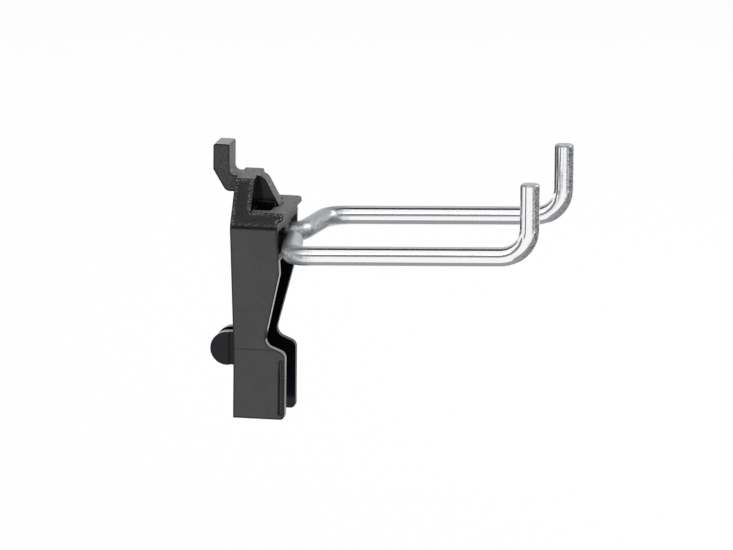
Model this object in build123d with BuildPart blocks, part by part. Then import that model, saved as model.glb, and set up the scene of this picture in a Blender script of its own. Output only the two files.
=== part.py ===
from build123d import *
import os
from math import radians, sin, cos, tan

# Hammer holder for a perforated tool panel: a moulded plastic clip that hooks into two square
# holes, and a fork of bent round wire that carries a hammer by the underside of its head.
# Millimetres. X points out of the panel, Y runs across it, Z is up.
# The origin lies on the panel's face, in the mid-plane, half way between the two holes in use.

# Panel that the clip fits
hole_pitch = 50.0        # centre to centre of the two square holes
hole_side = 10.0
panel_room = 2.4         # gap between the back face and the hook's tab

# Clip: heights above the foot
peg_height = 19.0        # centre of the snap peg
crease_height = 19.9     # the sides start to spread here

# Clip: from the top down
arm_thickness = 4.5      # the arm's top is the clip's top
slab_height = 8.5        # from the flat deck up to the top
skirt_height = 3.9       # from the seam, the widest place, up to the deck

foot = -hole_pitch / 2 - peg_height
arm_bottom = hole_pitch / 2 - hole_side / 2
top = arm_bottom + arm_thickness
crease = foot + crease_height
deck = top - slab_height
seam = deck - skirt_height

# Clip: half widths at those heights
foot_half = 9.1
seam_half = 15.5
top_half = 7.8

# Clip: how far its front edge stands out from the panel
foot_reach = 14.7
neck_reach = 8.7
neck_height = 21.4
step_height = 19.0       # the foot's front edge ends here and steps back to the neck
brow_reach = 13.7
brow_height = 42.5
mouth_reach = 13.4
lip_overhang = 1.4       # the lip stands out past the mouth
lip_thickness = 1.9
slab_depth = 5.3

lip_reach = mouth_reach + lip_overhang
front = max(foot_reach, lip_reach)

wall = 2.4
back_wall = 2.2
foot_round = 1.3
step_round = 2.2
neck_round = 2.8
groove_margin = 1.2      # from the foot's front edge to the middle of the groove
groove_width = 0.9
groove_depth = 0.25
seam_line_width = 0.6    # line moulded along the seam on each side
seam_line_depth = 0.3
lip_round = 0.7
edge_round = 0.6

# Rib between slab and deck, with a blind recess on each side
rib_width = 6.0
rib_top_reach = 7.1
rib_foot_reach = 11.7
rib_round = 3.0
recess_width = 5.0
recess_reach = 10.6
recess_depth = 3.2
sill_width = 1.2
sill_height = 1.4

# Hook behind the panel
tab_width = 9.0
tab_thickness = 4.6
tab_height = 8.8         # above the arm
tab_heel = 6.1           # straight back edge reaches this far above the arm's underside
heel_reach = 3.35        # how far behind the back face the slanted heel meets the underside
heel_round = 2.0
arm_fillet = 1.7

# Snap peg with two lobes
peg_size = 9.5
peg_reach = 7.4
neck_length = 2.1        # the thinner root shows this far, with room for the panel
lobe_spread = 10.8       # across both lobes
root_spread = 9.4
peg_slot = 4.8

# Wire fork
wire_diameter = 5.5
fork_tilt = 2.4          # degrees, prongs rise away from the panel
fork_drop = 8.7          # from the deck down to the axis, at the leg's bend
fork_gauge = 57.6        # between the axes of the prongs
leg_gauge = 9.8          # between the axes of the legs inside the clip
bend_reach = 16.35       # corner of leg and spread
shoulder_reach = 19.8    # corner of spread and prong
tip_reach = 87.2
tip_rise = 23.6          # above the axis at the leg's bend
loop_round = 4.6
bend_round = 4.5
shoulder_round = 6.0
tip_round = 8.4
tip_chamfer = 0.4
wire_clearance = 0.1

wire_radius = wire_diameter / 2
bridge_thickness = 1.9   # below the wire's pocket
flare_depth = 2.4        # the pocket's mouth widens over this depth
flare_rise = 0.7         # and stands this much higher than the pocket
flare_skin = 1.0         # side wall left outside the widened mouth


def fork_level(reach):
    """Height of the fork's axis at a distance from the panel."""
    return deck - fork_drop + (reach - bend_reach) * tan(radians(fork_tilt))


def half_width(level):
    """Half the clip's outer width at a height."""
    levels = [(foot, foot_half), (crease, foot_half), (seam, seam_half), (top, top_half)]
    for (low, low_half), (high, high_half) in zip(levels, levels[1:]):
        if low <= level <= high:
            return low_half + (high_half - low_half) * (level - low) / (high - low)
    return foot_half


# The loop at the back of the fork lies against the clip's back wall
loop_reach = back_wall + wire_clearance + wire_radius
fork_plane = Plane(
    origin=(0, 0, fork_level(0)),
    x_dir=(cos(radians(fork_tilt)), 0, sin(radians(fork_tilt))),
    z_dir=(-sin(radians(fork_tilt)), 0, cos(radians(fork_tilt))),
)
pocket_half_height = wire_radius + wire_clearance
bridge = fork_level(mouth_reach) - pocket_half_height - bridge_thickness

with BuildPart() as clip_body:
    # Side profile of channel, deck and slab, across the widest place
    with BuildSketch(Plane.XZ):
        with BuildLine():
            FilletPolyline(
                (0, foot),
                (foot_reach, foot),
                (foot_reach, foot + step_height),
                (neck_reach, foot + neck_height),
                (brow_reach, foot + brow_height),
                (mouth_reach, seam),
                (mouth_reach, deck - lip_thickness - lip_round),
                (lip_reach, deck - lip_thickness),
                (lip_reach, deck),
                (slab_depth, deck),
                (slab_depth, top),
                (0, top),
                radius=[
                    0, foot_round, step_round, neck_round, step_round, 0,
                    0, lip_round, lip_round, 0, 0, 0,
                ],
                close=True,
            )
        make_face()
    extrude(amount=seam_half, both=True)

    # Front outline: straight foot, spreading sides, sloping shoulders
    with BuildSketch(Plane.YZ):
        with BuildLine():
            Polyline(
                (-foot_half, foot),
                (foot_half, foot),
                (foot_half, crease),
                (seam_half, seam),
                (top_half, top),
                (-top_half, top),
                (-seam_half, seam),
                (-foot_half, crease),
                close=True,
            )
        make_face()
    extrude(amount=front, mode=Mode.INTERSECT)

    # Rounded top and sides of the slab's front face
    slab_front = clip_body.faces().filter_by(Axis.X).filter_by(lambda f: f.center().Z > deck)[0]
    fillet(slab_front.edges().sort_by(Axis.Z)[1:], radius=edge_round)

    # Shallow groove down the outside of the foot, just behind each front edge
    with BuildSketch(Plane.XY.offset(foot + foot_round)):
        with Locations(
            (foot_reach - groove_margin, -foot_half), (foot_reach - groove_margin, foot_half)
        ):
            Rectangle(groove_width, 2 * groove_depth)
    extrude(amount=step_height - foot_round - step_round, mode=Mode.SUBTRACT)

    # Line along the seam on each side
    with BuildSketch(Plane.XY.offset(seam - seam_line_width / 2)):
        with Locations((mouth_reach / 2, -seam_half), (mouth_reach / 2, seam_half)):
            Rectangle(mouth_reach, 2 * seam_line_depth)
    extrude(amount=seam_line_width, mode=Mode.SUBTRACT)

    # Channel between the side walls, open at the front and at the foot
    with BuildSketch(Plane.YZ.offset(back_wall)):
        with BuildLine():
            Polyline(
                (-foot_half + wall, foot - wall),
                (foot_half - wall, foot - wall),
                (foot_half - wall, crease),
                (half_width(bridge) - wall, bridge),
                (-half_width(bridge) + wall, bridge),
                (-foot_half + wall, crease),
                close=True,
            )
        make_face()
    extrude(amount=front, mode=Mode.SUBTRACT)

    # Rib from the slab down to the deck, standing on a low sill
    with BuildSketch(Plane.XZ):
        with BuildLine():
            FilletPolyline(
                (slab_depth / 2, deck - edge_round),
                (slab_depth / 2, top),
                (rib_top_reach, top),
                (rib_foot_reach, deck),
                (rib_foot_reach, deck - edge_round),
                radius=[0, 0, rib_round, 0, 0],
                close=True,
            )
        make_face()
    extrude(amount=rib_width / 2, both=True)
    with BuildSketch(Plane.XY.offset(deck - edge_round)):
        with Locations(((slab_depth + recess_reach) / 2, 0)):
            Rectangle(recess_reach - slab_depth, rib_width + 2 * sill_width)
    extrude(amount=edge_round + sill_height)

    # Blind recesses beside the rib
    with BuildSketch(Plane.XY.offset(deck)):
        with Locations(*[
            ((slab_depth + recess_reach) / 2, side * (rib_width / 2 + sill_width + recess_width / 2))
            for side in (-1, 1)
        ]):
            RectangleRounded(recess_reach - slab_depth - edge_round, recess_width, edge_round)
    extrude(amount=-recess_depth, mode=Mode.SUBTRACT)

    # Pocket for the fork's loop and legs, around a middle post that runs to the front face
    pocket_half = leg_gauge / 2 + wire_radius + wire_clearance
    post_half = leg_gauge / 2 - wire_radius - wire_clearance
    pocket_back = loop_reach - wire_radius - wire_clearance
    post_back = loop_reach + wire_radius + wire_clearance
    with BuildSketch(fork_plane):
        with BuildLine():
            FilletPolyline(
                (pocket_back, -pocket_half),
                (front, -pocket_half),
                (front, pocket_half),
                (pocket_back, pocket_half),
                radius=[loop_round + wire_radius, 0, 0, loop_round + wire_radius],
                close=True,
            )
        make_face()
        with BuildLine():
            FilletPolyline(
                (post_back, -post_half),
                (front, -post_half),
                (front, post_half),
                (post_back, post_half),
                radius=[loop_round - wire_radius, 0, 0, loop_round - wire_radius],
                close=True,
            )
        make_face(mode=Mode.SUBTRACT)
    extrude(amount=pocket_half_height, both=True, mode=Mode.SUBTRACT)

    # The pocket's mouth flares to both sides, where the legs turn outwards
    flare_half = half_width(fork_level(mouth_reach)) - flare_skin
    with BuildSketch(fork_plane.offset(-pocket_half_height)):
        for side in (-1, 1):
            with BuildLine():
                Polyline(
                    (mouth_reach - flare_depth, side * leg_gauge / 2),
                    (mouth_reach - flare_depth, side * pocket_half),
                    (mouth_reach, side * flare_half),
                    (front, side * flare_half),
                    (front, side * leg_gauge / 2),
                    close=True,
                )
            make_face()
    extrude(amount=2 * pocket_half_height + flare_rise, mode=Mode.SUBTRACT)

    # Hook: arm through the panel and tab behind it
    with BuildSketch(Plane.XZ):
        with BuildLine():
            FilletPolyline(
                (slab_depth / 2, arm_bottom),
                (slab_depth / 2, top),
                (-panel_room, top),
                (-panel_room, top + tab_height),
                (-panel_room - tab_thickness, top + tab_height),
                (-panel_room - tab_thickness, arm_bottom + tab_heel),
                (-heel_reach, arm_bottom),
                radius=[0, 0, arm_fillet, edge_round, edge_round, edge_round, heel_round],
                close=True,
            )
        make_face()
    extrude(amount=tab_width / 2, both=True)

    # Snap peg: round-nosed lobes on thinner roots, parted by a slot
    peg_centre = foot + peg_height
    for spread, start in ((root_spread, 0), (lobe_spread, neck_length)):
        with BuildSketch(Plane.XZ):
            with Locations((0, peg_centre)):
                SlotOverall(2 * peg_reach, peg_size)
            with Locations((-start, peg_centre)):
                Rectangle(peg_reach, peg_size, align=(Align.MAX, Align.CENTER), mode=Mode.INTERSECT)
        extrude(amount=spread / 2, both=True)
    with BuildSketch(Plane.XZ):
        with Locations((0, peg_centre)):
            Rectangle(peg_reach, 2 * peg_size, align=(Align.MAX, Align.CENTER))
    extrude(amount=peg_slot / 2, both=True, mode=Mode.SUBTRACT)

clip_body.part.label = "clip_body"

with BuildPart() as wire_fork:
    near_half = [
        (tip_reach, -fork_gauge / 2, fork_level(bend_reach) + tip_rise),
        (tip_reach, -fork_gauge / 2, fork_level(tip_reach)),
        (shoulder_reach, -fork_gauge / 2, fork_level(shoulder_reach)),
        (bend_reach, -leg_gauge / 2, fork_level(bend_reach)),
        (loop_reach, -leg_gauge / 2, fork_level(loop_reach)),
    ]
    far_half = [(x, -y, z) for x, y, z in reversed(near_half)]
    near_rounds = [tip_round, shoulder_round, bend_round, loop_round]
    with BuildLine():
        FilletPolyline(*near_half, *far_half, radius=near_rounds + near_rounds[::-1])
    with BuildSketch(Plane(origin=near_half[0], z_dir=(0, 0, -1))):
        Circle(wire_radius)
    sweep()
    tip_faces = wire_fork.faces().sort_by(Axis.Z)[-2:]
    chamfer(tip_faces.edges(), length=tip_chamfer)

wire_fork.part.label = "wire_fork"

os.makedirs("parts", exist_ok=True)
export_step(clip_body.part, "parts/clip_body.step")
export_step(wire_fork.part, "parts/wire_fork.step")
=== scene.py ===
# Hammer holder for a perforated tool panel: a moulded clip and a bent wire fork, in a plain studio.
import math

import bmesh
import bpy
from mathutils import Matrix, Vector


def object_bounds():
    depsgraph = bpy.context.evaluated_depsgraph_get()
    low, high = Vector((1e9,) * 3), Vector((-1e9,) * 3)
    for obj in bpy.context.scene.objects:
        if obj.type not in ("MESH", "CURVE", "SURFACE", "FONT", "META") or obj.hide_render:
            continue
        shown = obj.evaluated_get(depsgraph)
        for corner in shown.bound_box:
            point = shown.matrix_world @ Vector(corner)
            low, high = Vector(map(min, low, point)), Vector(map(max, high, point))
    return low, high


bl_info = {
    "name": "Hammer Holder Finishes",
    "version": (1, 0, 0),
    "blender": (4, 5, 0),
    "location": "View3D > Sidebar > Holder",
    "description": "Finishes for a tool panel's hammer holder, and a plain studio around it",
    "category": "Object",
}

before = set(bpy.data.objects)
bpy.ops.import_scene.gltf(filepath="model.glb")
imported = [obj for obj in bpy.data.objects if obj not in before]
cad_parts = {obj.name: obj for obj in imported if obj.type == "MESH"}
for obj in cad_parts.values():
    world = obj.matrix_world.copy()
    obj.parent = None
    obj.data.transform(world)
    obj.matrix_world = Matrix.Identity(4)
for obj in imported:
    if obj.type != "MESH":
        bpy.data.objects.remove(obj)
cad_low, cad_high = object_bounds()

MM = 0.001

# The picture's frame in pixels, and the pixel where the holder's origin shows
PICTURE_WIDTH = 733
PICTURE_HEIGHT = 550
ORIGIN_PIXEL_X = 240.3
ORIGIN_PIXEL_Y = 258.0
SENSOR_WIDTH = 36.0

# Lines on the clip, in millimetres in the holder's frame, and the widths that they are drawn with
SEAM = 12.1                     # moulding seam round the head
SEAM_LINE = 0.9
# Along the crease, where the walls change their slope, a line of painted shade is drawn
CREASE = -24.1                  # the walls' taper begins here
CREASE_LINE = 0.6
CREASE_SHADE_STRENGTH = 0.35
GROOVE_REACH = 13.05            # inner edge of the groove along the foot
GROOVE_LINE = 0.8

# Spans on the clip, in millimetres, in which a mask rises from nothing to full
ABOVE_SEAM = (SEAM - 0.1, SEAM + 0.1)
ABOVE_DECK = (16.0, 16.1)
BELOW_DECK = (15.95, 15.85)
ABOVE_RECESS_FLOOR = (12.0, 12.5)
BELOW_HOOK = (1.0, 0.0)
# Beside the wire's pocket the rim gets no painted highlight, as the pocket shades it there
BELOW_POCKET = (3.0, 2.5)       # above this, beside the wire's pocket, the rim stays dark
BELOW_CREASE = (CREASE, CREASE - 14.0)
BELOW_GROOVE_TOP = (-29.0, -29.5)
ABOVE_GROOVE_END = (-43.0, -42.5)
NEAR_TAB_TOP = (32.9, 33.1)
WITHIN_SILL = (4.4, 4.3)        # from the mid-plane: the rib and the sill beside it
WITHIN_RECESS = (9.5, 9.4)
HIGHLIT_RIM_SIDE = (1.0, -1.0)       # the wall on this side of the mid-plane gets the painted rim highlight
BEHIND_FACE = (0.0, -0.1)
SLAB_FRONT = (5.0, 5.2)
SLAB_END = (5.6, 5.4)
BEYOND_SLAB = (5.2, 5.3)
WITHIN_RECESS_REACH = (10.8, 10.7)
RIM_REACH = (5.0, 6.0)
OUTER_SKIN = (4.9, 5.6)         # from the mid-plane, on faces that look away from it
INNER_SKIN = (-1.0, -2.5)       # from the mid-plane, on faces that look towards it

# Spans on the wire, in millimetres
WORKED_REACH = (27.0, 21.0)     # nearer the clip, the wire was bent cold in two planes
BENT_END_REACH = (78.0, 83.0)   # the upturned ends begin here
POCKET_REACH = (14.5, 11.5)     # inside the pocket the wire is painted dark, as painted shade and a painted reflection of the black clip
TIP_HEIGHT = (25.0, 26.0)

# Spans of a face's direction, as the part of it that looks one way
LOOKS_SIDEWAYS = (0.4, 0.6)
LOOKS_THAT_WAY = (0.7, 0.9)
RIM_LOOKS = (0.6, 0.75)
LIT_FACE_LOOKS = (0.6, 0.8)
PEG_TOP_LOOKS = (0.3, 0.7)
BENT_END_LOOKS = (0.25, 0.7)
TIP_LOOKS = (0.25, 0.4)
EDGE_AGREEMENT = (0.998, 0.96)  # between the rounded direction and the face's own

# Spans of noise, and how strongly the grain and the drawing lines show as relief
TOOTH_PITS = (0.5, 0.36)
RUBBED_SPECKS = (0.5, 0.56)
PLATING_SPECKS = (0.46, 0.56)
WORKED_SPECKS = 0.6
TOOTH_RELIEF = 0.35
DRAWN_RELIEF = 0.25

# The stage's fixed sizes, in metres
LONG_CARD = 6.0
TIP_CARD_DISTANCE = 0.6
TIP_CARD_HEIGHT = 0.24
FLOOR_CARD_PLACE = (0.36, 0.16)
FLOOR_CARD_WIDTH = 0.5
FLOOR_CARD_HEIGHT = 0.76
FLOOR_CARD_GAP = 0.01
VIEW_DEPTH = 50.0

FLOOR_SIDES = 96                # straight edges of the round floor


def linear(hex_colour):
    """An sRGB hex colour as linear red, green, blue and alpha."""
    channels = [int(hex_colour[i:i + 2], 16) / 255 for i in (1, 3, 5)]
    curve = [c / 12.92 if c <= 0.04045 else ((c + 0.055) / 1.055) ** 2.4 for c in channels]
    return (*curve, 1.0)


def add_node(tree, kind, settings=(), links=()):
    """Adds a node, sets its inputs or properties by name or number, and links its inputs."""
    node = tree.nodes.new(kind)
    for key, value in dict(settings).items():
        if isinstance(key, int) or key in node.inputs:
            node.inputs[key].default_value = value
        else:
            setattr(node, key, value)
    for key, socket in dict(links).items():
        tree.links.new(socket, node.inputs[key])
    return node


def new_material(name):
    """An empty node material, and the tree that holds its nodes."""
    material = bpy.data.materials.new(name)
    material.use_nodes = True
    material.node_tree.nodes.clear()
    return material, material.node_tree


def give_material(node_name, material):
    """Puts a material in every slot of a CAD node's object."""
    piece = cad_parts[node_name]
    for slot in piece.material_slots:
        slot.link = "OBJECT"
        slot.material = material


def place_and_direction(tree):
    """The place on the piece in millimetres, its three parts, and the parts of the face's direction."""
    coordinates = add_node(tree, "ShaderNodeTexCoord")
    place = add_node(
        tree, "ShaderNodeVectorMath", {"operation": "SCALE", "Scale": 1 / MM},
        {0: coordinates.outputs["Object"]},
    ).outputs["Vector"]
    parts = add_node(tree, "ShaderNodeSeparateXYZ", {}, {"Vector": place}).outputs
    facing_parts = add_node(
        tree, "ShaderNodeSeparateXYZ", {}, {"Vector": coordinates.outputs["Normal"]},
    ).outputs
    return place, parts, facing_parts


def size_of(tree, value):
    """A value without its sign."""
    return add_node(tree, "ShaderNodeMath", {"operation": "ABSOLUTE"}, {0: value}).outputs[0]


def ramp(tree, value, nothing, full, most=1.0):
    """A mask that is zero where a value is at `nothing` and `most` where it is at `full`."""
    return add_node(
        tree, "ShaderNodeMapRange",
        {"From Min": nothing, "From Max": full, "To Min": 0.0, "To Max": most},
        {"Value": value},
    ).outputs["Result"]


def line_at(tree, value, middle, width, most=1.0):
    """A soft line of a width where a value passes a middle."""
    gap = add_node(tree, "ShaderNodeMath", {"operation": "SUBTRACT", 1: middle}, {0: value}).outputs[0]
    return ramp(tree, size_of(tree, gap), width / 2, width / 4, most)


def combined(tree, operation, *masks):
    """Masks brought together: MULTIPLY where all of them hold, MAXIMUM where any of them does."""
    result = masks[0]
    for mask in masks[1:]:
        result = add_node(tree, "ShaderNodeMath", {"operation": operation}, {0: result, 1: mask}).outputs[0]
    return result


def noise(tree, place, size, detail):
    """Cloudy noise whose features are a size in millimetres, on a place in millimetres."""
    return add_node(
        tree, "ShaderNodeTexNoise", {"Scale": 1 / size, "Detail": detail}, {"Vector": place},
    ).outputs["Fac"]


def blend_colour(tree, mask, under, over):
    """One colour over another, by a mask. Each is a colour value or a colour socket."""
    settings, links = {"data_type": "RGBA"}, {0: mask}
    for key, colour in ((6, under), (7, over)):
        (links if isinstance(colour, bpy.types.NodeSocket) else settings)[key] = colour
    return add_node(tree, "ShaderNodeMix", settings, links).outputs[2]


def edge_mask(tree, radius):
    """One on edges of the piece, where a rounded normal leaves the face's own."""
    rounded = add_node(tree, "ShaderNodeBevel", {"samples": 8, "Radius": radius * MM})
    flat = add_node(tree, "ShaderNodeNewGeometry").outputs["Normal"]
    agreement = add_node(
        tree, "ShaderNodeVectorMath", {"operation": "DOT_PRODUCT"},
        {0: rounded.outputs["Normal"], 1: flat},
    )
    return ramp(tree, agreement.outputs["Value"], *EDGE_AGREEMENT)


def spark_moulded_plastic(finish):
    """Black polypropylene, moulded in a spark-eroded cavity round a polished steel core.

    The eye sees a dull dark grey with a fine tooth outside. Inside the channel, beside the rib and
    on the peg, where the polished core and slides were, it is smooth, and the peg is nearly black.
    The channel, the rib's side, the recess beside it and the slab's front are painted nearly black
    as shade, with painted light low in the channel. One wall's front rim is smooth too, and a
    painted highlight makes it a pale line; the peg's top edges get a painted highlight as well. The
    head above the seam has the deeper tooth, which looks darker, with pale specks of rubbed tooth
    beside its edges; the pale specks over its front and top and the pale tab top are painted light.
    """
    material, tree = new_material("spark_moulded_polypropylene")
    place, (x, y, z), (out, across, up) = place_and_direction(tree)
    half = size_of(tree, y)
    side = combined(tree, "MULTIPLY", y, across)
    sideways = ramp(tree, size_of(tree, across), *LOOKS_SIDEWAYS)
    forward_or_up = combined(tree, "MAXIMUM", out, up)

    above_seam = ramp(tree, z, *ABOVE_SEAM)
    outside = ramp(tree, side, *OUTER_SKIN)
    head_side = combined(tree, "MULTIPLY", above_seam, outside)
    channel = ramp(tree, side, *INNER_SKIN)
    above_recess_floor = ramp(tree, z, *ABOVE_RECESS_FLOOR)
    beyond_slab = ramp(tree, x, *BEYOND_SLAB)
    rib_side = combined(
        tree, "MULTIPLY", ramp(tree, half, *WITHIN_SILL), sideways, above_recess_floor, beyond_slab,
    )
    recess = combined(
        tree, "MULTIPLY", ramp(tree, half, *WITHIN_RECESS), ramp(tree, z, *BELOW_DECK),
        above_recess_floor, beyond_slab, ramp(tree, x, *WITHIN_RECESS_REACH),
    )
    slab_front = combined(
        tree, "MULTIPLY", ramp(tree, out, *LOOKS_THAT_WAY), ramp(tree, z, *ABOVE_DECK),
        ramp(tree, x, *SLAB_FRONT), ramp(tree, x, *SLAB_END),
    )
    # The core's faces: the channel, the rib's side, the recess and the slab's front, which are smooth and
    # painted nearly black as shade
    core = combined(tree, "MAXIMUM", channel, rib_side, recess, slab_front)
    peg = combined(tree, "MULTIPLY", ramp(tree, x, *BEHIND_FACE), ramp(tree, z, *BELOW_HOOK))
    # One wall's front rim, smooth, and given a painted highlight
    rim = combined(
        tree, "MULTIPLY", ramp(tree, forward_or_up, *RIM_LOOKS), ramp(tree, x, *RIM_REACH),
        ramp(tree, z, *BELOW_POCKET), ramp(tree, y, *HIGHLIT_RIM_SIDE),
    )
    seam = combined(tree, "MULTIPLY", line_at(tree, z, SEAM, SEAM_LINE), outside)
    # A line of painted shade along the crease
    crease_shade = combined(
        tree, "MULTIPLY", line_at(tree, z, CREASE, CREASE_LINE, most=CREASE_SHADE_STRENGTH), outside,
    )
    groove = combined(
        tree, "MULTIPLY", line_at(tree, x, GROOVE_REACH, GROOVE_LINE), outside,
        ramp(tree, z, *BELOW_GROOVE_TOP), ramp(tree, z, *ABOVE_GROOVE_END),
    )

    # Toothed outside, with the head's deeper tooth. The real tooth is about 0.1 mm, too fine to
    # show, so it is drawn about five times as coarse
    cloud = noise(tree, place, finish.cloud, detail=3.0)
    tooth = noise(tree, place, finish.tooth, detail=2.0)
    colour = blend_colour(tree, cloud, finish.colour_deep, finish.colour)
    colour = blend_colour(tree, head_side, colour, finish.colour_head)
    depth = add_node(
        tree, "ShaderNodeMapRange", {"To Min": finish.grain, "To Max": finish.grain_head},
        {"Value": above_seam},
    ).outputs["Result"]
    grain = combined(tree, "MULTIPLY", ramp(tree, tooth, *TOOTH_PITS), depth)
    colour = blend_colour(tree, grain, colour, finish.colour_pits_and_shade)

    # Pale specks of rubbed tooth beside the edges of the head's sides, and pale specks on its faces that
    # look forwards or up, which are painted light; the tab's top is painted light all over. The specks
    # are drawn about four times as coarse as the real rubbed ones, which are too fine to show
    specks = ramp(tree, noise(tree, place, finish.speck, detail=1.0), *RUBBED_SPECKS)
    lit_face_specks = ramp(tree, forward_or_up, *LIT_FACE_LOOKS, most=finish.lit_face_specks)
    edge_wear_and_lit_faces = combined(
        tree, "MAXIMUM",
        combined(tree, "MULTIPLY", edge_mask(tree, finish.worn_width), head_side),
        combined(tree, "MULTIPLY", lit_face_specks, above_seam),
    )
    # The tab's top, painted light all over
    painted_light_tab_top = combined(
        tree, "MULTIPLY", ramp(tree, up, *LOOKS_THAT_WAY), ramp(tree, z, *NEAR_TAB_TOP),
    )
    rubbed_and_lit = combined(tree, "MAXIMUM", combined(tree, "MULTIPLY", specks, edge_wear_and_lit_faces), painted_light_tab_top)
    colour = blend_colour(tree, rubbed_and_lit, colour, finish.colour_wear_and_highlight)

    # Smooth peg in its own dark shade; then the core's faces painted nearly black as shade, with
    # painted light low in the channel
    colour = blend_colour(tree, peg, colour, finish.colour_peg_and_channel_light)
    # Painted shade: the core's faces nearly black
    colour = blend_colour(tree, core, colour, finish.colour_pits_and_shade)
    # Painted light: the channel lighter low down
    painted_light_low_channel = combined(tree, "MULTIPLY", channel, ramp(tree, z, *BELOW_CREASE))
    colour = blend_colour(tree, painted_light_low_channel, colour, finish.colour_peg_and_channel_light)

    # Dark lines: the moulding seam, a line along the groove's inner edge, and painted shade on every
    # edge and along the crease. Then painted highlights on the peg's top edges and one wall's rim
    edges = edge_mask(tree, finish.edge)
    seam_and_shade_lines = combined(tree, "MAXIMUM", edges, seam, crease_shade, groove)
    colour = blend_colour(tree, seam_and_shade_lines, colour, finish.colour_pits_and_shade)
    # Painted highlight on the peg's top edges
    peg_edge_highlight = combined(tree, "MULTIPLY", edges, peg, ramp(tree, up, *PEG_TOP_LOOKS))
    colour = blend_colour(tree, peg_edge_highlight, colour, finish.colour_wear_and_highlight)
    # Painted highlight along one wall's front rim
    colour = blend_colour(tree, rim, colour, finish.colour_rim_highlight)

    polished = combined(tree, "MAXIMUM", core, peg, rim)
    roughness = add_node(
        tree, "ShaderNodeMapRange",
        {"To Min": finish.roughness, "To Max": finish.roughness_smooth},
        {"Value": polished},
    )
    bump = add_node(
        tree, "ShaderNodeBump",
        {"Distance": finish.tooth_depth * MM},
        {"Height": tooth, "Strength": ramp(tree, polished, 1.0, 0.0, most=TOOTH_RELIEF)},
    )
    shader = add_node(
        tree, "ShaderNodeBsdfPrincipled",
        {"IOR": 1.49, "Specular IOR Level": finish.specular},
        {"Base Color": colour, "Roughness": roughness.outputs["Result"], "Normal": bump.outputs["Normal"]},
    )
    add_node(tree, "ShaderNodeOutputMaterial", {}, {"Surface": shader.outputs["BSDF"]})
    return material


def zinc_plated_wire(finish):
    """Drawn steel wire with bright zinc plating.

    The eye sees a clear bright metal whose reflections are slightly soft, with faint lines along
    the wire from drawing. Where the wire was bent hard, beside the clip and on the outside of the
    upturned ends, the plating is dull and speckled, and the sheared ends are flat grey.
    """
    material, tree = new_material("zinc_plated_drawn_wire")
    place, (x, _, z), (out, _, up) = place_and_direction(tree)

    bloom = noise(tree, place, finish.bloom, detail=4.0)
    worked = ramp(tree, x, *WORKED_REACH)
    stretched = combined(
        tree, "MULTIPLY", ramp(tree, x, *BENT_END_REACH), ramp(tree, out, *BENT_END_LOOKS),
    )
    sheared = combined(tree, "MULTIPLY", ramp(tree, z, *TIP_HEIGHT), ramp(tree, up, *TIP_LOOKS))
    matt = combined(tree, "MAXIMUM", worked, sheared)

    colour = blend_colour(tree, bloom, finish.colour_dull, finish.colour)
    colour = blend_colour(tree, matt, colour, finish.colour_matt)

    # Specks in the plating, dense where the wire was bent hard and faint elsewhere. The real ones
    # are about 0.1 mm, too fine to show, so they are drawn about five times as coarse
    specks = ramp(tree, noise(tree, place, finish.speck, detail=1.5), *PLATING_SPECKS)
    dense = combined(tree, "MAXIMUM", ramp(tree, worked, 0.0, 1.0, most=WORKED_SPECKS), stretched)
    amount = add_node(
        tree, "ShaderNodeMapRange", {"To Min": finish.speck_faint, "To Max": finish.speck_dense},
        {"Value": dense},
    ).outputs["Result"]
    speckled = combined(tree, "MULTIPLY", specks, amount)
    colour = blend_colour(tree, speckled, colour, finish.colour_speck)
    # Painted shade in the clip's pocket, with a painted reflection of the black clip
    colour = blend_colour(tree, ramp(tree, x, *POCKET_REACH), colour, finish.colour_pocket_shade)

    roughness = add_node(
        tree, "ShaderNodeMapRange",
        {"To Min": finish.roughness, "To Max": finish.roughness_matt},
        {"Value": matt},
    )

    # Drawing lines run along the prongs. The real ones are about 0.05 mm apart, too fine to show,
    # so they are drawn about seven times as far apart
    drawn = add_node(
        tree, "ShaderNodeMapping",
        {"Scale": (finish.line_spacing / finish.line_length, 1.0, 1.0)},
        {"Vector": place},
    ).outputs["Vector"]
    bump = add_node(
        tree, "ShaderNodeBump",
        {"Strength": DRAWN_RELIEF, "Distance": finish.line_depth * MM},
        {"Height": noise(tree, drawn, finish.line_spacing, detail=2.0)},
    )
    shader = add_node(
        tree, "ShaderNodeBsdfPrincipled",
        {"Metallic": 1.0},
        {"Base Color": colour, "Roughness": roughness.outputs["Result"], "Normal": bump.outputs["Normal"]},
    )
    add_node(tree, "ShaderNodeOutputMaterial", {}, {"Surface": shader.outputs["BSDF"]})
    return material


def seen_rays(tree):
    """One for camera, glossy and transmission rays, which see the white background."""
    path = add_node(tree, "ShaderNodeLightPath").outputs
    return combined(
        tree, "MAXIMUM", path["Is Camera Ray"], path["Is Glossy Ray"], path["Is Transmission Ray"],
    )


def painted_floor(stage):
    """Matte white board, which shows as white and keeps a faint shadow."""
    material, tree = new_material("matte_white_board")
    board = add_node(tree, "ShaderNodeBsdfDiffuse", {"Color": stage.floor_colour})
    glow = add_node(tree, "ShaderNodeEmission", {"Color": linear("#ffffff"), "Strength": 1.0})
    share = ramp(tree, seen_rays(tree), 0.0, 1.0, most=stage.floor_white)
    mixed = add_node(
        tree, "ShaderNodeMixShader", {},
        {0: share, 1: board.outputs["BSDF"], 2: glow.outputs["Emission"]},
    )
    add_node(tree, "ShaderNodeOutputMaterial", {}, {"Surface": mixed.outputs["Shader"]})
    return material


def reflected_card(name, shade):
    """Card that glows at its shade and that only reflections see, as bright there as its sRGB shade is
    written.
    """
    material, tree = new_material(name)
    glow = add_node(tree, "ShaderNodeEmission", {"Color": linear(shade), "Strength": 1.0})
    add_node(tree, "ShaderNodeOutputMaterial", {}, {"Surface": glow.outputs["Emission"]})
    return material


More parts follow.
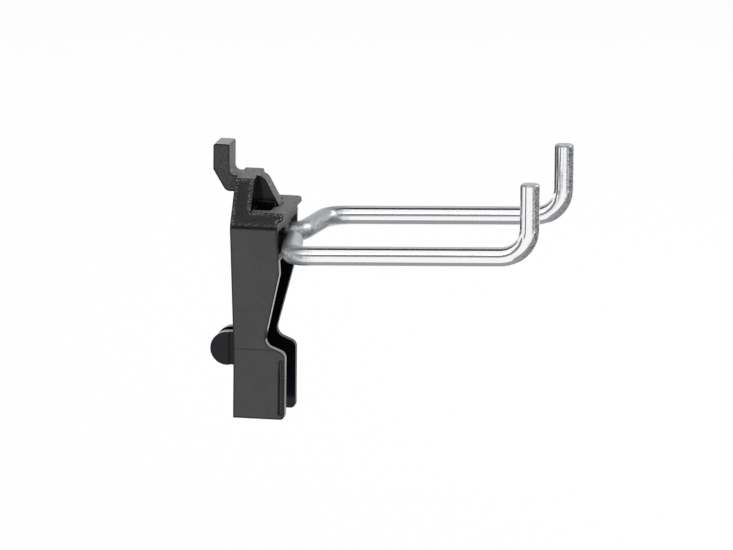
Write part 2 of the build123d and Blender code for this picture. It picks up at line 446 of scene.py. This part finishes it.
def link_mesh(name, shape, material):
    """Turns a bmesh into an object of the scene that isn't part of the holder."""
    mesh = bpy.data.meshes.new(name)
    shape.to_mesh(mesh)
    shape.free()
    mesh.materials.append(material)
    piece = bpy.data.objects.new(name, mesh)
    bpy.context.scene.collection.objects.link(piece)
    return piece


def facing(place, target):
    """The matrix of a lamp or card at a place, with its -Z side towards the target."""
    turn = (target - place).to_track_quat("-Z", "Y")
    return Matrix.Translation(place) @ turn.to_matrix().to_4x4()


def add_card(name, shade, place, target, width, height):
    """A card of a width and height in metres at a place, turned to a target."""
    sheet = bmesh.new()
    bmesh.ops.create_grid(sheet, x_segments=1, y_segments=1, size=0.5)
    bmesh.ops.scale(sheet, verts=sheet.verts, vec=(width, height, 1.0))
    bmesh.ops.transform(sheet, matrix=facing(place, target), verts=sheet.verts)
    card = link_mesh(name, sheet, reflected_card(name, shade))
    card.visible_camera = False
    card.visible_diffuse = False
    card.visible_shadow = False
    card.visible_transmission = False


def round_the_prongs(angle):
    """The direction at an angle round the prongs: 0 is the camera's side, 90 is up."""
    turn = math.radians(angle)
    return Vector((0.0, -math.cos(turn), math.sin(turn)))


def round_the_tips(angle):
    """The level direction at an angle round the upturned ends: 0 is the camera's side, 90 the right."""
    turn = math.radians(angle)
    return Vector((math.sin(turn), -math.cos(turn), 0.0))


def lay_floor(stage, floor_level):
    """A round floor below the holder, which hangs from its panel."""
    disc = bmesh.new()
    bmesh.ops.create_circle(disc, cap_ends=True, segments=FLOOR_SIDES, radius=stage.floor_radius)
    bmesh.ops.translate(disc, verts=disc.verts, vec=(0.0, 0.0, floor_level))
    link_mesh("floor", disc, painted_floor(stage))


def set_long_cards(centre):
    """Cards along the prongs, which draw dark lines along the wire."""
    # Name, shade, angle round the prongs, distance and height
    for name, shade, angle, distance, height in (
        ("card_overhead", "#3c3c3e", 100.0, 0.9, 0.5),
        ("card_camera_side", "#808080", 18.0, 1.0, 0.46),
        ("card_behind", "#bcbcbc", 139.0, 1.1, 0.84),
        ("card_below", "#9c9d9f", -88.0, 0.15, 0.22),
    ):
        place = centre + round_the_prongs(angle) * distance
        add_card(name, shade, place, centre, LONG_CARD, height)


def set_tip_cards(stage):
    """Upright cards round the tips, as low as the upturned ends reflect towards the camera."""
    tips = Vector((cad_high.x, 0.0, 0.0))
    below = Vector((0.0, 0.0, math.tan(stage.elevation) * TIP_CARD_DISTANCE))
    # Name, shade, and the angles round the tips at which the card starts and ends
    for name, shade, start, end in (
        ("card_left_behind", "#4a4a4a", -142.0, -98.0),
        ("card_left", "#686868", -46.0, -32.0),
        ("card_right_front", "#b4b4b4", 38.0, 62.0),
        ("card_right", "#98989a", 66.0, 148.0),
    ):
        place = tips + round_the_tips((start + end) / 2) * TIP_CARD_DISTANCE - below
        width = 2 * TIP_CARD_DISTANCE * math.tan(math.radians(end - start) / 2)
        add_card(name, shade, place, tips, width, TIP_CARD_HEIGHT)


def lay_floor_card(floor_level):
    """A card on the floor, in what the outsides of the upturned ends reflect."""
    place = Vector((*FLOOR_CARD_PLACE, floor_level + FLOOR_CARD_GAP))
    above = place + Vector((0.0, 0.0, 1.0))
    add_card("card_floor_right", "#98989a", place, above, FLOOR_CARD_WIDTH, FLOOR_CARD_HEIGHT)


def hang_lamps(scene, centre):
    """Soft lamps: a key above and in front of the tips, one from behind, and a weak fill."""
    for name, place, size, power in (
        ("key_lamp", (0.9, 0.35, 0.7), 0.6, 5.0),
        ("back_lamp", (-0.2, 1.0, 0.8), 0.7, 4.0),
        ("fill_lamp", (-0.3, -1.1, 0.5), 0.8, 2.5),
    ):
        lamp_data = bpy.data.lights.new(name, "AREA")
        lamp_data.shape = "SQUARE"
        lamp_data.size = size
        lamp_data.energy = power
        lamp = bpy.data.objects.new(name, lamp_data)
        scene.collection.objects.link(lamp)
        lamp.matrix_world = facing(Vector(place), centre)


def whiten_world(scene, stage):
    """A world that is white where it is seen, and lights the holder at a plain level."""
    world = bpy.data.worlds.new("studio_white")
    world.use_nodes = True
    tree = world.node_tree
    tree.nodes.clear()
    pure_white = linear("#ffffff")
    soft = add_node(tree, "ShaderNodeBackground", {"Strength": stage.ambient, "Color": pure_white})
    white = add_node(tree, "ShaderNodeBackground", {"Strength": 1.0, "Color": pure_white})
    mixed = add_node(
        tree, "ShaderNodeMixShader", {},
        {0: seen_rays(tree), 1: soft.outputs["Background"], 2: white.outputs["Background"]},
    )
    add_node(tree, "ShaderNodeOutputWorld", {}, {"Surface": mixed.outputs["Shader"]})
    scene.world = world


def set_camera(scene, stage):
    """A camera at the photograph's angle, with the holder's origin where the photograph has it."""
    sin_azimuth, cos_azimuth = math.sin(stage.azimuth), math.cos(stage.azimuth)
    sin_elevation, cos_elevation = math.sin(stage.elevation), math.cos(stage.elevation)
    back = Vector((sin_azimuth * cos_elevation, -cos_azimuth * cos_elevation, sin_elevation))
    level = Vector((cos_azimuth, sin_azimuth, 0.0))
    upright = back.cross(level)
    right = level * math.cos(stage.roll) + upright * math.sin(stage.roll)
    up = upright * math.cos(stage.roll) - level * math.sin(stage.roll)

    # The middle of the picture from the origin, and the camera's distance, both in pixels
    aim = right * (PICTURE_WIDTH / 2 - ORIGIN_PIXEL_X) + up * (ORIGIN_PIXEL_Y - PICTURE_HEIGHT / 2)
    distance = stage.lens / SENSOR_WIDTH * PICTURE_WIDTH
    metres_per_pixel = MM / stage.pixels_per_mm
    place = (aim + back * distance) * metres_per_pixel

    camera_data = bpy.data.cameras.new("camera")
    camera_data.lens = stage.lens
    camera_data.sensor_width = SENSOR_WIDTH
    camera_data.clip_end = VIEW_DEPTH
    camera = bpy.data.objects.new("camera", camera_data)
    scene.collection.objects.link(camera)
    turn = Matrix((right, up, back)).transposed().to_4x4()
    camera.matrix_world = Matrix.Translation(place) @ turn
    scene.camera = camera


class HolderClipFinish(bpy.types.PropertyGroup):
    colour: bpy.props.FloatVectorProperty(
        name="Plastic", description="Shade of the plastic where it is lightest",
        subtype="COLOR", size=4, min=0.0, max=1.0, default=linear("#4d4d4d"),
    )
    colour_deep: bpy.props.FloatVectorProperty(
        name="Deep plastic", description="Shade of the plastic where it is darkest",
        subtype="COLOR", size=4, min=0.0, max=1.0, default=linear("#434343"),
    )
    colour_head: bpy.props.FloatVectorProperty(
        name="Head", description="Shade of the head's sides, above the seam",
        subtype="COLOR", size=4, min=0.0, max=1.0, default=linear("#262625"),
    )
    # Pale shade for the rubbed specks, also used as painted light on the head's front and top and the tab's
    # top, and as a painted highlight on the peg's top edges
    colour_wear_and_highlight: bpy.props.FloatVectorProperty(
        name="Rubbed specks", description="Shade of the specks of rubbed tooth",
        subtype="COLOR", size=4, min=0.0, max=1.0, default=linear("#8e8c8c"),
    )
    # The rim's shade is a painted highlight
    colour_rim_highlight: bpy.props.FloatVectorProperty(
        name="Rim", description="Shade of the rubbed front rim",
        subtype="COLOR", size=4, min=0.0, max=1.0, default=linear("#5c5c5c"),
    )
    # Used for the tooth's pits and the seam, and as painted shade in the hollows, on every edge and along
    # the crease
    colour_pits_and_shade: bpy.props.FloatVectorProperty(
        name="Smooth plastic", description="Shade of the core's side, the seam and the edges",
        subtype="COLOR", size=4, min=0.0, max=1.0, default=linear("#0c0c0e"),
    )
    # Also used as painted light low in the channel
    colour_peg_and_channel_light: bpy.props.FloatVectorProperty(
        name="Peg", description="Shade of the smooth peg",
        subtype="COLOR", size=4, min=0.0, max=1.0, default=linear("#11141b"),
    )
    specular: bpy.props.FloatProperty(
        name="Specular level", description="Strength of the plastic's reflections",
        subtype="FACTOR", min=0.0, max=1.0, default=0.25,
    )
    roughness: bpy.props.FloatProperty(
        name="Roughness", description="Roughness of the toothed faces",
        subtype="FACTOR", min=0.0, max=1.0, default=0.5,
    )
    roughness_smooth: bpy.props.FloatProperty(
        name="Smooth roughness", description="Roughness of the channel, the rubbed rim and the peg",
        subtype="FACTOR", min=0.0, max=1.0, default=0.14,
    )
    cloud: bpy.props.FloatProperty(
        name="Cloud size", description="Size of the cloudy shades, in millimetres", default=5.0,
    )
    tooth: bpy.props.FloatProperty(
        name="Tooth size", description="Grain of the mould, in millimetres", default=0.5,
    )
    tooth_depth: bpy.props.FloatProperty(
        name="Tooth depth", description="Depth of the grain, in millimetres", default=0.05,
    )
    grain: bpy.props.FloatProperty(
        name="Grain", description="How much the grain darkens the plastic below the seam",
        subtype="FACTOR", min=0.0, max=1.0, default=0.14,
    )
    grain_head: bpy.props.FloatProperty(
        name="Head grain", description="How much the deeper grain darkens the head",
        subtype="FACTOR", min=0.0, max=1.0, default=0.8,
    )
    speck: bpy.props.FloatProperty(
        name="Speck size", description="Size of the rubbed specks, in millimetres", default=0.4,
    )
    worn_width: bpy.props.FloatProperty(
        name="Worn width", description="Reach of the rubbed specks from an edge, in millimetres",
        default=2.0,
    )
    # Strength of the pale specks painted as light on faces that look forwards or up
    lit_face_specks: bpy.props.FloatProperty(
        name="Worn front", description="Strength of the rubbed specks on the head's front and top",
        subtype="FACTOR", min=0.0, max=1.0, default=0.7,
    )
    # The dark line on every edge is painted shade
    edge: bpy.props.FloatProperty(
        name="Edge width", description="Width of the dark line on an edge, in millimetres",
        default=0.9,
    )


class HolderWireFinish(bpy.types.PropertyGroup):
    colour: bpy.props.FloatVectorProperty(
        name="Zinc", description="Colour of the bright plating",
        subtype="COLOR", size=4, min=0.0, max=1.0, default=linear("#fafafb"),
    )
    colour_dull: bpy.props.FloatVectorProperty(
        name="Dull zinc", description="Colour of the plating where it is dull",
        subtype="COLOR", size=4, min=0.0, max=1.0, default=linear("#f5f6f8"),
    )
    colour_matt: bpy.props.FloatVectorProperty(
        name="Matt zinc", description="Colour of the plating where the wire was bent hard",
        subtype="COLOR", size=4, min=0.0, max=1.0, default=linear("#c2c6c8"),
    )
    colour_speck: bpy.props.FloatVectorProperty(
        name="Specks", description="Colour of the specks in the plating",
        subtype="COLOR", size=4, min=0.0, max=1.0, default=linear("#6c6e72"),
    )
    # Painted shade and a painted reflection of the black clip, inside the pocket
    colour_pocket_shade: bpy.props.FloatVectorProperty(
        name="Dirt", description="Colour of the wire inside the clip's pocket",
        subtype="COLOR", size=4, min=0.0, max=1.0, default=linear("#2c2c30"),
    )
    roughness: bpy.props.FloatProperty(
        name="Roughness", description="Roughness of the bright plating",
        subtype="FACTOR", min=0.0, max=1.0, default=0.1,
    )
    roughness_matt: bpy.props.FloatProperty(
        name="Matt roughness", description="Roughness where the wire was bent hard",
        subtype="FACTOR", min=0.0, max=1.0, default=0.38,
    )
    bloom: bpy.props.FloatProperty(
        name="Bloom size", description="Size of the plating's bloom, in millimetres", default=3.0,
    )
    speck: bpy.props.FloatProperty(
        name="Speck size", description="Size of the plating's specks, in millimetres", default=0.5,
    )
    speck_faint: bpy.props.FloatProperty(
        name="Faint specks", description="Strength of the specks on the straight wire",
        subtype="FACTOR", min=0.0, max=1.0, default=0.02,
    )
    speck_dense: bpy.props.FloatProperty(
        name="Dense specks", description="Strength of the specks on the outside of the bent ends",
        subtype="FACTOR", min=0.0, max=1.0, default=0.7,
    )
    line_spacing: bpy.props.FloatProperty(
        name="Line spacing", description="Between the drawing lines, in millimetres", default=0.35,
    )
    line_length: bpy.props.FloatProperty(
        name="Line length", description="Length of the drawing lines, in millimetres", default=25.0,
    )
    line_depth: bpy.props.FloatProperty(
        name="Line depth", description="Depth of the drawing lines, in millimetres", default=0.008,
    )


class HolderStage(bpy.types.PropertyGroup):
    floor_colour: bpy.props.FloatVectorProperty(
        name="Floor", description="Colour of the floor",
        subtype="COLOR", size=4, min=0.0, max=1.0, default=linear("#f4f4f3"),
    )
    floor_white: bpy.props.FloatProperty(
        name="Floor white", description="Share of plain white in what the camera sees of the floor",
        subtype="FACTOR", min=0.0, max=1.0, default=0.9,
    )
    floor_radius: bpy.props.FloatProperty(
        name="Floor radius", description="Radius of the floor",
        unit="LENGTH", default=8.0,
    )
    floor_drop: bpy.props.FloatProperty(
        name="Floor drop", description="Height of the foot above the floor",
        unit="LENGTH", default=0.12,
    )
    ambient: bpy.props.FloatProperty(
        name="Ambient", description="Level of the light from all around", default=0.65,
    )
    azimuth: bpy.props.FloatProperty(
        name="Azimuth", description="Direction that the camera looks from",
        unit="ROTATION", default=math.radians(10.42),
    )
    elevation: bpy.props.FloatProperty(
        name="Elevation", description="Height of the camera's line of sight",
        unit="ROTATION", default=math.radians(12.03),
    )
    roll: bpy.props.FloatProperty(
        name="Roll", description="Turn of the camera about its line of sight",
        unit="ROTATION", default=math.radians(0.51),
    )
    lens: bpy.props.FloatProperty(
        name="Lens", description="Focal length in millimetres", default=500.0,
    )
    pixels_per_mm: bpy.props.FloatProperty(
        name="Picture scale", description="Pixels for each millimetre at the origin", default=3.555,
    )


class HOLDER_OT_finish_clip(bpy.types.Operator):
    """Gives the moulded clip its plastic"""
    bl_idname = "holder.finish_clip"
    bl_label = "Finish Moulded Clip"

    def execute(self, context):
        give_material("clip_body", spark_moulded_plastic(context.scene.holder_clip))
        return {"FINISHED"}


class HOLDER_OT_finish_fork(bpy.types.Operator):
    """Gives the wire fork its zinc plating"""
    bl_idname = "holder.finish_fork"
    bl_label = "Finish Wire Fork"

    def execute(self, context):
        give_material("wire_fork", zinc_plated_wire(context.scene.holder_wire))
        return {"FINISHED"}


class HOLDER_OT_set_stage(bpy.types.Operator):
    """Sets up the floor, the lamps, the cards and the camera"""
    bl_idname = "holder.set_stage"
    bl_label = "Set Up Stage"

    def execute(self, context):
        scene = context.scene
        stage = scene.holder_stage
        centre = (cad_low + cad_high) / 2
        floor_level = cad_low.z - stage.floor_drop
        lay_floor(stage, floor_level)
        set_long_cards(centre)
        set_tip_cards(stage)
        lay_floor_card(floor_level)
        hang_lamps(scene, centre)
        whiten_world(scene, stage)
        set_camera(scene, stage)
        scene.view_settings.view_transform = "Standard"
        return {"FINISHED"}


class HOLDER_PT_finishes(bpy.types.Panel):
    """Lists the holder's finishes and its stage"""
    bl_idname = "HOLDER_PT_finishes"
    bl_label = "Hammer Holder"
    bl_space_type = "VIEW_3D"
    bl_region_type = "UI"
    bl_category = "Holder"

    def draw(self, context):
        for group, operator in (
            (context.scene.holder_clip, HOLDER_OT_finish_clip),
            (context.scene.holder_wire, HOLDER_OT_finish_fork),
            (context.scene.holder_stage, HOLDER_OT_set_stage),
        ):
            box = self.layout.box()
            for name in group.__annotations__:
                box.prop(group, name)
            box.operator(operator.bl_idname)


CLASSES = (
    HolderClipFinish,
    HolderWireFinish,
    HolderStage,
    HOLDER_OT_finish_clip,
    HOLDER_OT_finish_fork,
    HOLDER_OT_set_stage,
    HOLDER_PT_finishes,
)


def register():
    for cls in CLASSES:
        bpy.utils.register_class(cls)
    bpy.types.Scene.holder_clip = bpy.props.PointerProperty(type=HolderClipFinish)
    bpy.types.Scene.holder_wire = bpy.props.PointerProperty(type=HolderWireFinish)
    bpy.types.Scene.holder_stage = bpy.props.PointerProperty(type=HolderStage)


def unregister():
    del bpy.types.Scene.holder_stage
    del bpy.types.Scene.holder_wire
    del bpy.types.Scene.holder_clip
    for cls in reversed(CLASSES):
        bpy.utils.unregister_class(cls)


def main():
    register()
    bpy.ops.holder.finish_clip()
    bpy.ops.holder.finish_fork()
    bpy.ops.holder.set_stage()


if __name__ == "__main__":
    main()
